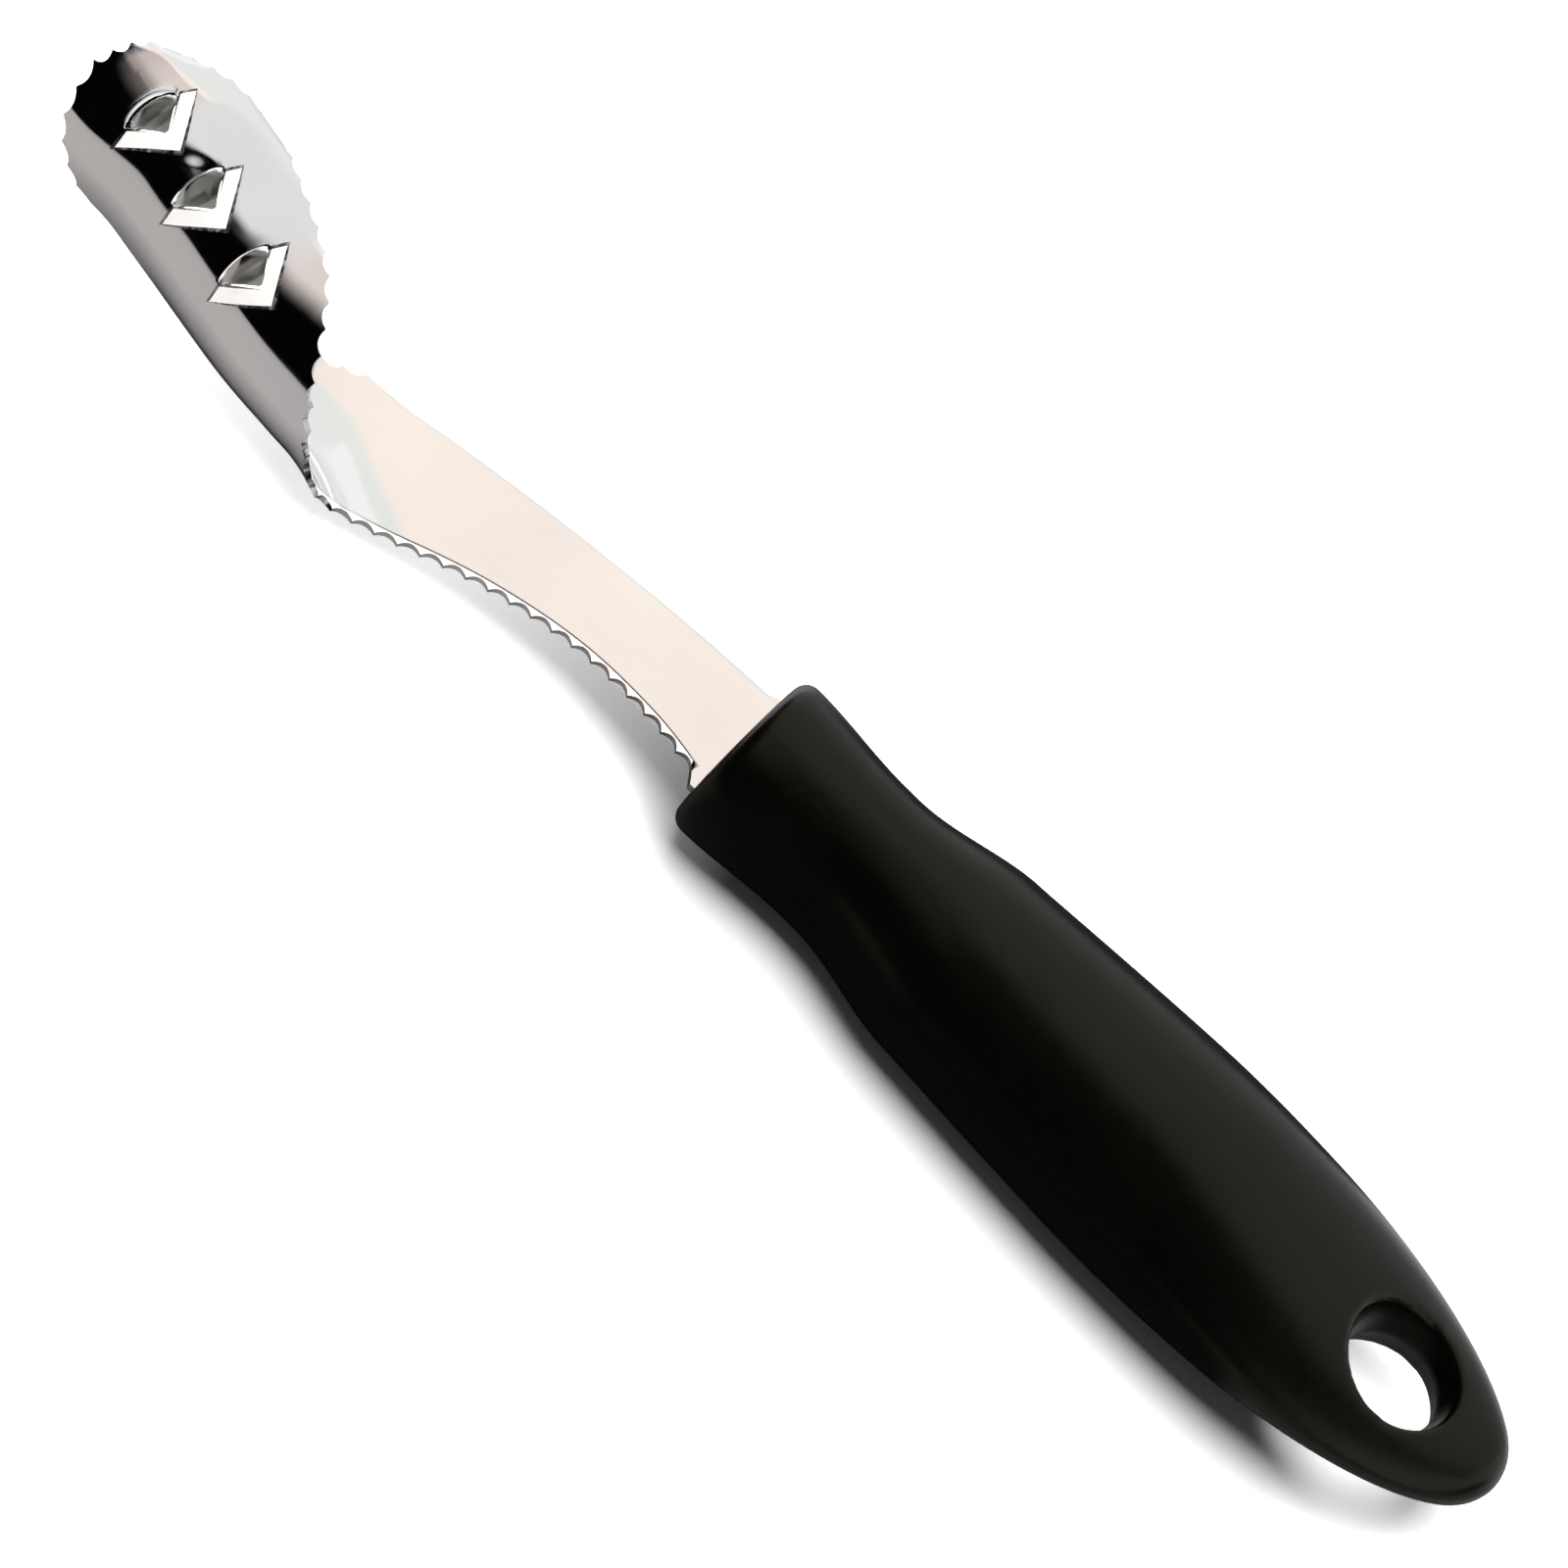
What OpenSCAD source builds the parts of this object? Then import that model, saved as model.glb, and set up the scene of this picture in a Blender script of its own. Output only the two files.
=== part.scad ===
// Chili pepper corer: a serrated gouge on a curved flat shank, moulded into a soft oval handle.
// Millimetres. The tip lies along -X, the butt along +X, and +Z is up.
// The origin is the centre of the hanging hole, on the handle's middle plane.

/* [Handle] */
// Length of the handle, from collar to butt
handle_len = 110.8; // [100:0.1:125]
// Half width at the collar
collar_hw = 10.4; // [10:0.05:12]
// Half width at the waist, where the finger rests
waist_hw = 9.2; // [9:0.1:11]
// Half width at the shoulder behind the waist
shoulder_hw = 12.45; // [11.5:0.05:14]
// Half width at the belly
belly_hw = 15.1; // [14.2:0.1:17]
// Half thickness at the collar
collar_ht = 9.3; // [9:0.1:11]
// Half thickness at the waist
waist_ht = 8.9; // [8.5:0.1:10.5]
// Half thickness at the belly
belly_ht = 9.8; // [9.4:0.1:11]
// Half thickness beside the butt end
tail_ht = 3; // [2.6:0.1:4]
// Distance from the collar to the waist
waist_at = 17.5; // [15:0.5:20]
// Distance from the waist to the shoulder
shoulder_run = 16; // [14:0.5:22]
// Distance from the collar to where the handle starts to thin
thin_from = 58; // [50:1:64]
// Length of the round nose at the butt
nose_len = 33.8; // [28:0.1:40]
// Edge rounding at the collar's front
collar_round = 1.8; // [1:0.1:2.2]
// Squareness of the oval section, where 2 is an ellipse
oval_power = 2.3; // [2:0.1:2.6]

/* [Hanging hole] */
// Radius of the hanging hole
hole_r = 6.1; // [5.5:0.1:7]
// Distance from the hanging hole to the butt end
hole_inset = 15.6; // [14:0.1:18]
// Length of the hole's straight wall
hole_land = 4.6; // [3.6:0.1:5.4]
// Rounding of the hole's lips
lip_r = 1.2; // [0.8:0.1:1.8]

/* [Core] */
// Half width of the hard core
core_hw = 7.2; // [6.6:0.1:7.6]
// Half thickness of the hard core
core_ht = 4.2; // [3.4:0.1:4.6]
// Depth of soft cover in front of the core
core_front = 4; // [3:0.1:6]
// Length of the hard core
core_len = 74; // [70:0.5:76]
// Radius of the keys that tie core and cover together
key_r = 2.2; // [1.6:0.1:2.6]
// Distance between the keys
key_pitch = 7; // [6:0.5:8]

/* [Blade] */
// Sheet thickness
sheet_t = 0.9; // [0.8:0.05:1.4]
// Reach of the blade from the collar to the tip
reach = 97; // [85:0.1:110]
// Half width on the plain side of the shank
spine_hw = 8; // [7.5:0.1:8.5]
// Half width on the serrated side at the collar
edge_root = 6.6; // [6:0.1:7.5]
// Half width on the serrated side at its waist
edge_waist = 4.3; // [3.5:0.1:5.5]
// Half width of the blade's heel, which closes on the collar
heel_hw = 8.4; // [8:0.1:8.7]
// Downward slope of the shank as it leaves the handle
shank_slope = 0.045; // [0.02:0.005:0.07]
// Growth of that slope along the shank
shank_bend = 0.0022; // [0.0016:0.0001:0.0026]

/* [Gouge] */
// Outside radius of the gouge
gouge_r = 10.4; // [9:0.1:12]
// Distance from the collar to the kink
kink_q = 56.3; // [52:0.1:60]
// Drop of the sheet at the kink
gouge_drop = 9.2; // [8:0.1:10]
// Rise of the gouge towards its tip
gouge_rise = 0.185; // [0.12:0.005:0.24]
// Girth of the leaf from the curl line to the crown
crown_s = 37.7; // [33:0.1:39]
// Girth of the leaf from the curl line to the tip
tip_s = 22.1; // [20:0.1:23]

/* [Serration and teeth] */
// Number of scallops on the long serrated edge
scallops_long = 44; // [36:1:48]
// Number of scallops on the short serrated edge
scallops_short = 19; // [15:1:22]
// Depth of a scallop
scallop_d = 0.65; // [0.3:0.05:0.8]
// Distance between raised teeth
tooth_pitch = 8.95; // [8.2:0.05:10]
// Distance from the collar to the first tooth's point
tooth_q = 65.4; // [63:0.1:68]
// Half span of a tooth
tooth_span = 5.6; // [4.5:0.05:6]
// Length of a tooth along the gouge
tooth_len = 4.9; // [4:0.1:5.5]
// Width of a tooth's flat rim
tooth_rim = 1.5; // [1.1:0.05:1.8]
// Height of a tooth above the gouge
tooth_h = 0.9; // [0.5:0.05:1.3]

/* [Tang] */
// Length of the tang inside the handle
tang_len = 58; // [45:0.5:62]
// Half width of the tang
tang_hw = 5; // [4:0.1:5.5]
// Radius of the tang's locking holes
lock_r = 2; // [1.5:0.1:2.4]
// Distance from the collar to the first locking hole
lock_at = 18; // [12:0.5:20]
// Distance between the locking holes
lock_pitch = 22; // [10:0.5:25]

/* [Hidden] */
steel = [0.82, 0.83, 0.85];
hard = [0.1, 0.1, 0.1];
soft = [0.05, 0.05, 0.05];
x_front = hole_inset - handle_len;
mid_r = gouge_r - sheet_t / 2;
// Points along a scallop and across the blank
per_scallop = 3;
across = 9;
// The heel inside the collar, what stands out of it, and where it has narrowed to the tang
heel_len = 2.2;
heel_out = 0.6;
neck_at = 4.5;
tang_chamfer = 1.5;
// How softly the sheet bends at the kink, and how softly the curl line turns
kink_soft = 3;
curl_soft = 4;
// The curl line: its offset and slant along the heel, then along the leaf
heel_curl = [9.4, 0.97];
heel_curl_q = kink_q - 11.4;
leaf_curl = [2.4, 0.075];
// Girth from the curl line to the teeth's middle line
tooth_s = 24.5;
// What the tooth's rim keeps beside the window's corners, and the window's reach behind the rim
rim_corner = 1.8;
window_back = 0.4;
rim_blunt = 0.6;

function smooth_max(a, b, k) = max(a, b) + pow(max(k - abs(a - b), 0), 2) / (4 * k);
function ease(t) = let (c = min(max(t, 0), 1)) c * c * (3 - 2 * c);

// The sheet's own line in side view, and the line where the curl begins.
function shank_z(q) = q < 0 ? 0 : -(shank_slope * q + shank_bend * q * q);
function leaf_z(q) = gouge_rise * (q - kink_q) - gouge_drop;
function sheet_z(q) = smooth_max(shank_z(q), leaf_z(q), kink_soft);
function curl_s(q) =
    let (heel = heel_curl[0] - heel_curl[1] * (q - heel_curl_q))
    let (leaf = leaf_curl[0] - leaf_curl[1] * (q - kink_q))
    smooth_max(heel, leaf, curl_soft);

// A point of the flat blank, rolled into place.
function roll_deg(q, s) = max(s - curl_s(q), 0) / mid_r * 180 / PI;
function rolled(q, s) =
    let (c = curl_s(q), w = roll_deg(q, s))
    s <= c ? [x_front - q, -s, sheet_z(q)]
           : [x_front - q, -(c + mid_r * sin(w)), sheet_z(q) + mid_r * (1 - cos(w))];
function unit(v) = v / norm(v);
// The direction out of the sheet's lower face, which is the gouge's outside.
function sheet_normal(q, s) =
    unit(cross(rolled(q, s + 0.05) - rolled(q, s - 0.05), rolled(q + 0.05, s) - rolled(q - 0.05, s)));

// Smooth curve through a list of points.
function bend_at(a, b, c, d, t) =
    0.5 * (2 * b + (c - a) * t + (2 * a - 5 * b + 4 * c - d) * t * t + (3 * b - a - 3 * c + d) * t * t * t);
function through(p, fine = 8) =
    let (n = len(p) - 1)
    [for (i = [0 : n * fine])
        let (k = min(floor(i / fine), n - 1), t = i / fine - k)
        bend_at(p[max(k - 1, 0)], p[k], p[k + 1], p[min(k + 2, n)], t)];
function step_to_next(p, i) = i + 1 < len(p) ? norm(p[i + 1] - p[i]) : 0;
function run_lengths(p) = [for (i = 0, sum = 0; i < len(p); sum = sum + step_to_next(p, i), i = i + 1) sum];
function even(p, n) =
    let (l = run_lengths(p), total = l[len(l) - 1])
    let (qs = [for (i = [0 : len(p) - 1]) [l[i], p[i][0]]], ss = [for (i = [0 : len(p) - 1]) [l[i], p[i][1]]])
    [for (i = [0 : n]) [lookup(total * i / n, qs), lookup(total * i / n, ss)]];

// Scallops are bitten into an evenly divided curve, on the side given by sign.
function bite(i) = let (f = (i % per_scallop) / per_scallop) scallop_d * 4 * f * (1 - f);
function scalloped(p, sign) =
    let (n = len(p) - 1)
    [for (i = [0 : n])
        let (d = unit(p[min(i + 1, n)] - p[max(i - 1, 0)]))
        p[i] + sign * bite(i) * [d[1], -d[0]]];

// Outline of the blank: the long edge, then the plain spine and short edge, both from collar to tip.
tip = [reach, tip_s];
root = [1.6, edge_root];
shank_edge = [root, [8.6, (edge_root + edge_waist) / 2 - 0.4], [19, edge_waist], [30, edge_waist + 1.2]];
heel_edge = [[kink_q - 16, 8.1], [kink_q - 9.2, 10.6], [kink_q - 5.6, 14.4], [kink_q - 1.5, tip_s - 2.3]];
rise_edge = [[kink_q + 3, 26.5], [kink_q + 8.2, crown_s - 5.9], [kink_q + 16.5, crown_s - 2.2]];
crown_edge = [[reach - 17, crown_s], [reach - 8.9, crown_s - 3.3], [reach - 2.7, tip_s + 7.2], tip];
long_curve = through(concat(shank_edge, heel_edge, rise_edge, crown_edge));
spine_curve = [[root[0], -spine_hw], [kink_q, -spine_hw]];
root_edge = [[kink_q, -spine_hw], [kink_q + 4.1, -5.6], [kink_q + 10, -2.6], [kink_q + 18, 1.6]];
chin_edge = [[reach - 15, 5.5], [reach - 9.1, 8.9], [reach - 5.1, 12.8], [reach - 1.8, tip_s - 5.5], tip];
short_curve = through(concat(root_edge, chin_edge));
n_long = scallops_long * per_scallop;
n_short = scallops_short * per_scallop;
long_side = scalloped(even(long_curve, n_long), 1);
short_side = scalloped(even(short_curve, n_short), -1);
spine_side = even(spine_curve, n_long - n_short);
plain_side = concat([for (i = [0 : n_long - n_short - 1]) spine_side[i]], short_side);
tang_end = [[-tang_len, tang_hw - tang_chamfer], [tang_chamfer - tang_len, tang_hw]];
tang_left = concat(tang_end, [[-neck_at, tang_hw], [-heel_len, heel_hw], [heel_out, heel_hw]]);
side_a = concat(tang_left, long_side);
side_b = concat([for (p = tang_left) [p[0], -p[1]]], plain_side);
ribs = len(side_a) - 1;

function rib_point(i, j) = side_b[i] + (side_a[i] - side_b[i]) * j / across;
function face_grid(lift) =
    [for (i = [0 : ribs - 1], j = [0 : across])
        let (p = rib_point(i, j)) rolled(p[0], p[1]) + lift * sheet_normal(p[0], p[1])];

// The sheet: two faces a thickness apart, closed along both edges, the tang's end and the tip.
module sheet() {
    w = across + 1;
    top = face_grid(-sheet_t / 2);
    low = face_grid(sheet_t / 2);
    size = len(top);
    e = rolled(tip[0], tip[1]);
    en = sheet_normal(tip[0], tip[1]) * sheet_t / 2;
    last = (ribs - 1) * w;
    top_faces = [for (i = [0 : ribs - 2], j = [0 : across - 1])
        let (a = i * w + j) each [[a, a + 1, a + w + 1], [a, a + w + 1, a + w]]];
    low_faces = [for (f = top_faces) [f[2] + size, f[1] + size, f[0] + size]];
    near_edge = [for (i = [0 : ribs - 2])
        let (b = i * w + across) each [[b + w, b, b + size], [b + w, b + size, b + w + size]]];
    far_edge = [for (i = [0 : ribs - 2])
        let (a = i * w) each [[a, a + w, a + w + size], [a, a + w + size, a + size]]];
    end_faces = [for (j = [0 : across - 1]) each [[j + 1, j, j + size], [j + 1, j + size, j + 1 + size]]];
    nose = [for (j = [0 : across - 1])
        each [[last + j, last + j + 1, 2 * size], [last + j + 1 + size, last + j + size, 2 * size + 1]]];
    seam = [[last, 2 * size, 2 * size + 1], [last, 2 * size + 1, last + size],
            [2 * size, last + across, last + across + size], [2 * size, last + across + size, 2 * size + 1]];
    sides = concat(near_edge, far_edge, end_faces, nose, seam);
    polyhedron(concat(top, low, [e - en, e + en]), concat(top_faces, low_faces, sides));
}

// Sets its children on the gouge's outer face at a tooth, with +Z outwards and +X to the butt.
module at_tooth(k) {
    q = tooth_q + tooth_len / 2 + k * tooth_pitch;
    p = rolled(q, tooth_s);
    lift = sheet_normal(q, tooth_s) * sheet_t / 2;
    translate(p + lift) rotate([180 - roll_deg(q, tooth_s), atan(gouge_rise), 0]) children();
}

// A tooth is a chevron rim that follows the gouge, round a three-cornered window.
tooth_half = tooth_len / 2;
rim_run = tooth_rim * norm([tooth_len, tooth_span]) / tooth_span;
module tooth_rim_plan() {
    back = tooth_half + rim_run / 2;
    corner = tooth_span - rim_blunt;
    polygon([[tooth_half, 0], [-tooth_half, tooth_span], [-back, corner], [tooth_half - rim_run, 0],
             [-back, -corner], [-tooth_half, -tooth_span]]);
}
module tooth_window_plan() {
    back = tooth_half + window_back;
    corner = tooth_span - rim_corner;
    polygon([[tooth_half - rim_run, 0], [-back, corner], [-back, -corner]]);
}
module tooth() {
    intersection() {
        translate([0, 0, -tooth_span]) linear_extrude(2 * tooth_span) tooth_rim_plan();
        translate([-tooth_pitch, 0, -gouge_r]) rotate([0, 90, 0]) difference() {
            cylinder(r = gouge_r + tooth_h, h = 2 * tooth_pitch, $fn = 96);
            translate([0, 0, -1]) cylinder(r = mid_r, h = 2 * tooth_pitch + 2, $fn = 96);
        }
    }
}

module lock_holes(r) {
    for (k = [0, 1])
        translate([x_front + lock_at + k * lock_pitch, 0, -core_ht])
            cylinder(r = r, h = 2 * core_ht, $fn = 48);
}
module blade() {
    color(steel) union() {
        difference() {
            sheet();
            lock_holes(lock_r);
            for (k = [0 : 2])
                at_tooth(k) translate([0, 0, -tooth_half]) linear_extrude(tooth_len) tooth_window_plan();
        }
        for (k = [0 : 2]) at_tooth(k) tooth();
    }
}

// The space that the tang takes up in core and grip.
module tang_space() {
    plan = concat(tang_left, [for (i = [len(tang_left) - 1 : -1 : 0]) [tang_left[i][0], -tang_left[i][1]]]);
    translate([0, 0, -sheet_t / 2]) linear_extrude(sheet_t)
        polygon([for (p = plan) [x_front - p[0], -p[1]]]);
}

module core_shape() {
    x0 = x_front + core_front;
    x1 = x0 + core_len - core_hw;
    translate([0, 0, -core_ht]) linear_extrude(2 * core_ht) union() {
        translate([x0, -core_hw]) square([x1 - x0, 2 * core_hw]);
        translate([x1, 0]) circle(r = core_hw, $fn = 96);
    }
}
module core_keys(r) {
    for (k = [0, 1])
        translate([x_front + core_front + core_len - core_hw + (k - 1) * key_pitch, 0, -core_ht])
            cylinder(r = r, h = 2 * core_ht, $fn = 48);
}
module core() {
    color(hard) difference() {
        core_shape();
        difference() {
            tang_space();
            lock_holes(lock_r);
        }
        core_keys(key_r);
    }
}

// Half width and half thickness of the handle at a distance u from the collar.
function to_waist(u) = ease((u - collar_round) / (waist_at - 2 * collar_round));
function to_shoulder(u) = ease((u - waist_at) / shoulder_run);
function to_belly(u) =
    let (from = waist_at + shoulder_run, t = (u - from) / (handle_len - nose_len - from))
    sin(90 * min(max(t, 0), 1));
function nose(u) = let (t = max(u - handle_len + nose_len, 0) / nose_len) sqrt(max(1 - t * t, 0));
function rounding(u) =
    let (d = max(collar_round - u, 0)) collar_round - sqrt(max(collar_round * collar_round - d * d, 0));
function half_w(u) =
    let (front = collar_hw + (waist_hw - collar_hw) * to_waist(u))
    let (rear = (shoulder_hw - waist_hw) * to_shoulder(u) + (belly_hw - shoulder_hw) * to_belly(u))
    (front + rear) * nose(u) - rounding(u);
function half_t(u) =
    let (front = collar_ht + (waist_ht - collar_ht) * to_waist(u) + (belly_ht - waist_ht) * to_shoulder(u))
    let (rear = ease((u - thin_from) / (handle_len - thin_from)))
    let (end = max(u - handle_len + tail_ht, 0) / tail_ht)
    (front + (tail_ht - front) * rear) * sqrt(max(1 - end * end, 0)) - rounding(u);
// The loft's stations: round the collar's edge, along the handle, then closer round the butt.
butt_run = 13;
function stations() =
    concat([for (i = [0 : 4]) collar_round * (1 - cos(i * 22.5))],
           [for (i = [1 : 26]) collar_round + (handle_len - butt_run - collar_round) * i / 26],
           [for (t = [80 : -10 : 10]) handle_len - butt_run * (1 - cos(t))]);
function oval(v) = sign(v) * pow(abs(v), 2 / oval_power);
module handle_body() {
    n = 32;
    us = stations();
    m = len(us);
    ring = [for (u = us, k = [0 : n - 1])
        let (a = 360 * (k + 0.5) / n) [x_front + u, half_w(u) * oval(cos(a)), half_t(u) * oval(sin(a))]];
    skin = [for (i = [0 : m - 2], k = [0 : n - 1])
        let (a = i * n + k, b = i * n + (k + 1) % n) each [[a, a + n, b + n], [a, b + n, b]]];
    cap = [for (k = [0 : n - 1]) [(m - 1) * n + k, m * n, (m - 1) * n + (k + 1) % n]];
    front = [[for (k = [0 : n - 1]) k]];
    polyhedron(concat(ring, [[x_front + handle_len, 0, 0]]), concat(skin, front, cap));
}
// Half of the hanging hole: the straight wall, the round lip, then a flare clear of the handle.
module half_hole() {
    h = hole_land / 2;
    arc = [for (a = [0 : 10 : 90]) [hole_r + lip_r * (1 - cos(a)), h + lip_r * sin(a)]];
    flare = [[hole_r + lip_r + belly_ht, h + lip_r + belly_ht], [0, h + lip_r + belly_ht]];
    rotate_extrude($fn = 96) polygon(concat([[0, 0], [hole_r, 0]], arc, flare));
}
module hole_cut() {
    half_hole();
    mirror([0, 0, 1]) half_hole();
}
module grip() {
    color(soft) union() {
        difference() {
            handle_body();
            hole_cut();
            core_shape();
            tang_space();
        }
        intersection() {
            core_shape();
            core_keys(key_r);
        }
    }
}

blade();
core();
grip();
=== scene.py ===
"""Looks of the chili pepper corer: a rolled, serrated steel blade with pressed teeth in a soft black handle.

Pieces are shaped in millimetres in the handle's own frame and brought to metres when they are finished.
"""
import math

import bpy
import numpy as np
from mathutils import Matrix, Vector
from mathutils.geometry import delaunay_2d_cdt


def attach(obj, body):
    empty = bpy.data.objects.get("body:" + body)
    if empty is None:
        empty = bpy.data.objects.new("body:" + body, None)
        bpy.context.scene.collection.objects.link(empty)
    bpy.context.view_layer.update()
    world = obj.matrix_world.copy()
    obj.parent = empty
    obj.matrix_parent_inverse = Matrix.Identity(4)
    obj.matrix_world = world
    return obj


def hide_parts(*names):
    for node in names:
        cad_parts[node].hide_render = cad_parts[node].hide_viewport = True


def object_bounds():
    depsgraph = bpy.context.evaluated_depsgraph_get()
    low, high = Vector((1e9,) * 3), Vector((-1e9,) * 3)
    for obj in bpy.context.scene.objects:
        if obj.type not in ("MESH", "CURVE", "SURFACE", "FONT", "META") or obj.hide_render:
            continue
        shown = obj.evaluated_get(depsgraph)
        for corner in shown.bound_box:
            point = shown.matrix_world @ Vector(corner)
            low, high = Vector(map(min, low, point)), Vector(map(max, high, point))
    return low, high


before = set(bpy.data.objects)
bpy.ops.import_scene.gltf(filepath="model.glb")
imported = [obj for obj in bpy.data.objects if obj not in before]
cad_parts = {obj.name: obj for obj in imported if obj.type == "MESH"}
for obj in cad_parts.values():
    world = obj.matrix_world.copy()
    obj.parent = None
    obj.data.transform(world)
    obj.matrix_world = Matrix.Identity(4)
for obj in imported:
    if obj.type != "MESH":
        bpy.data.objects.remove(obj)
cad_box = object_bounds()
MM = 0.001

# Handle: lengths from the collar's front, half widths and half heights.
HANDLE_LEN = 110.8
HOLE_INSET = 15.6
X_FRONT = HOLE_INSET - HANDLE_LEN
COLLAR_HW, WAIST_HW, SHOULDER_HW, BELLY_HW = 10.4, 9.2, 12.45, 15.1
COLLAR_HT, WAIST_HT, BELLY_HT, TAIL_HT = 9.3, 8.9, 9.8, 3.0
WAIST_AT, SHOULDER_RUN, THIN_FROM, NOSE_LEN = 17.5, 16.0, 58.0, 33.8
COLLAR_ROUND = 1.8
OVAL_POWER = 2.3
HOLE_R, HOLE_DEPTH = 5.95, 14.0
HOLE_DRAFT = math.radians(15)
LIP_REACH, LIP_FROM = 9.4, 2.4
SKIN_SHARE, SKIN_VOXEL = 0.994, 0.36
SLOT_END, SLOT_SIDE, SLOT_FACE = 0.2, 0.1, 0.04

# Blade: q runs from the collar to the tip, s across the flat blank, w out of the gouge's outside.
SHEET_T = 0.9
REACH = 97.0
SPINE_HW, EDGE_ROOT, EDGE_WAIST, HEEL_HW = 8.0, 6.6, 4.3, 8.4
SHANK_SLOPE, SHANK_BEND = 0.045, 0.0022
GOUGE_R, KINK_Q, GOUGE_DROP, GOUGE_RISE = 10.4, 56.3, 9.2, 0.185
CROWN_S, TIP_S = 37.7, 22.1
MID_R = GOUGE_R - SHEET_T / 2
KINK_SOFT = 3.0
# Where across the blank the roll begins, on the heel and along the leaf, and over what length it comes on.
HEEL_CURL, HEEL_CURL_SLOPE, HEEL_CURL_AT = 9.4, 0.97, 11.4
LEAF_CURL, LEAF_CURL_SLOPE, CURL_SOFT = 2.4, 0.075, 4.0
ROLL_LEAF, ROLL_HEEL, ROLL_SHANK = 1.5, 12.5, 5
ROLL_HEEL_AT, ROLL_HEEL_RUN, ROLL_SHANK_AT, ROLL_SHANK_RUN = 2, 12, 40, 9
SCALLOPS_LONG, SCALLOPS_SHORT, SCALLOP_D = 44, 19, 0.65
PER_SCALLOP = 10
TANG_LEN, TANG_HW, TANG_CHAMFER = 58.0, 5.0, 1.5
HEEL_LEN, HEEL_OUT, NECK_AT, ROOT_Q = 2.2, 0.6, 4.5, 1.6
LOCK_R, LOCK_AT, LOCK_PITCH = 2.0, 18.0, 22.0

# Teeth: chevrons with a flat ground band, drawn as (a towards the tip, b up the girth) from each point.
TOOTH_Q, TOOTH_S, TOOTH_PITCH = 65.4, 24.7, 8.95
TOOTH_LEN, TOOTH_SPAN, TOOTH_SHEAR = 4.9, 5.6, 0.178
ARM_UP, ARM_LOW, TOOTH_CLIMB = 5.15, 6.05, 0.15
TOOTH_WALL, TOOTH_BAND, TOOTH_END, ARM_CUT, TOP_CUT = 0.4, 1.5, 0.5, 1.15, 0.3
TOOTH_H, BAND_INSIDE = (0.62, 0.9), 0.6
SWELL_H, SWELL_AT, SWELL_LEN, SWELL_HW = 0.16, 2.6, 3.4, 6.0
# Behind each tooth a tongue of sheet is pressed in: its cut front, the slits beside it, the bow of its lip,
# and its slopes on the way in, as (place, slope), with a lip for each tooth.
TONGUE_A, SLIT, TONGUE_CLEAR, TONGUE_FADE = 2.95, 0.1, 0.03, 0.6
LIP_BOW, LIP_BOW_AT, LIP_HALF, LIP_POINTS = 0.75, 3.9, 3.0, 27
TONGUE_FLOOR = ((5.3, 0.9), (4.7, 0.3), (4.0, 0.3), (3.5, 0.62), (2.4, 0.62))
TONGUE_LIPS = (((6.55, 0.0), (6.3, 0.9)), ((6.6, 0.0), (6.3, 0.9)),
               ((7.3, 0.0), (7.05, 0.2), (6.3, 0.4), (6.1, 0.9)))
# Depth of pressing over which the steel behind the teeth turns rougher and darker; the darker tone is painted
# shade.
DRAWN_FROM, DRAWN_RUN = 0.4, 0.5
# The middle tooth's tongue has a lead that draws the sheet in from one side.
LEAD_TOOTH, LEAD_D, LEAD_W, LEAD_LEN = 1, 0.5, 1.3, 2.9
LEAD_AT, LEAD_DIR = (5.9, 1.9), (0.7, 0.71)
# The tip is rolled in a little like a spoon, and the shank's serrated edge is bevelled on top.
SPOON_RIM = ((21.6, 97.0), (25.5, 96.2), (29.3, 94.3), (32.0, 91.6), (34.4, 88.3), (37.5, 82.0))
SPOON_SLOPE = ((0.0, 0.75), (1.0, 0.42), (2.0, 0.27), (3.5, 0.18), (5.0, 0.12), (8.0, 0.0))
SPOON_FROM, SPOON_FROM_RUN, SPOON_TO, SPOON_TO_RUN = 17.5, 5, 31, 5.5
TIP_OPEN, TIP_OPEN_S, TIP_OPEN_S_RUN, TIP_OPEN_Q, TIP_OPEN_Q_RUN = 1.1, 26.0, 9, 84, 10
TIP_BACK, TIP_BACK_Q, TIP_BACK_RUN = 0.14, 86, 10
BEVEL_W, CREASE_W, BEVEL_SLOPE, CREASE_D, BEVEL_SEEN = 0.82, 0.16, 0.4, 0.16, 0.1
SPINE_W, SPINE_SLOPE = 0.5, 0.2
BEVEL_FROM, SPINE_FROM, BEVEL_IN, BEVEL_IN_RUN = 1.8, 1.4, 1, 1.5
BEVEL_OUT, BEVEL_OUT_RUN, SPINE_OUT, SPINE_OUT_RUN = 8, 9, 6, 4
EDGE_ROUND = 0.06
# Mesh of the blank: steps of its points, and how far the close ones reach round the teeth.
FINE_STEP, COARSE_STEP, ROW_SHARE, LINE_STEP = 0.28, 0.72, 0.866, 0.3
FINE_BEFORE, FINE_PAST, FINE_HALF = 2.6, 9.4, 6.8
TOUCH = 1e-4

CORE_X, CORE_LEN, CORE_HW, CORE_HT = 4.0, 74.0, 7.2, 4.2


def ease(t):
    """Smooth step from 0 to 1."""
    c = np.clip(t, 0, 1)
    return c * c * (3 - 2 * c)


def smooth_max(a, b, soft):
    """The greater of two values, with the change between them rounded."""
    return np.maximum(a, b) + np.maximum(soft - np.abs(a - b), 0) ** 2 / (4 * soft)


def alone(obj):
    """Makes one object the only one selected and active."""
    bpy.ops.object.select_all(action="DESELECT")
    obj.select_set(True)
    bpy.context.view_layer.objects.active = obj


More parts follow.
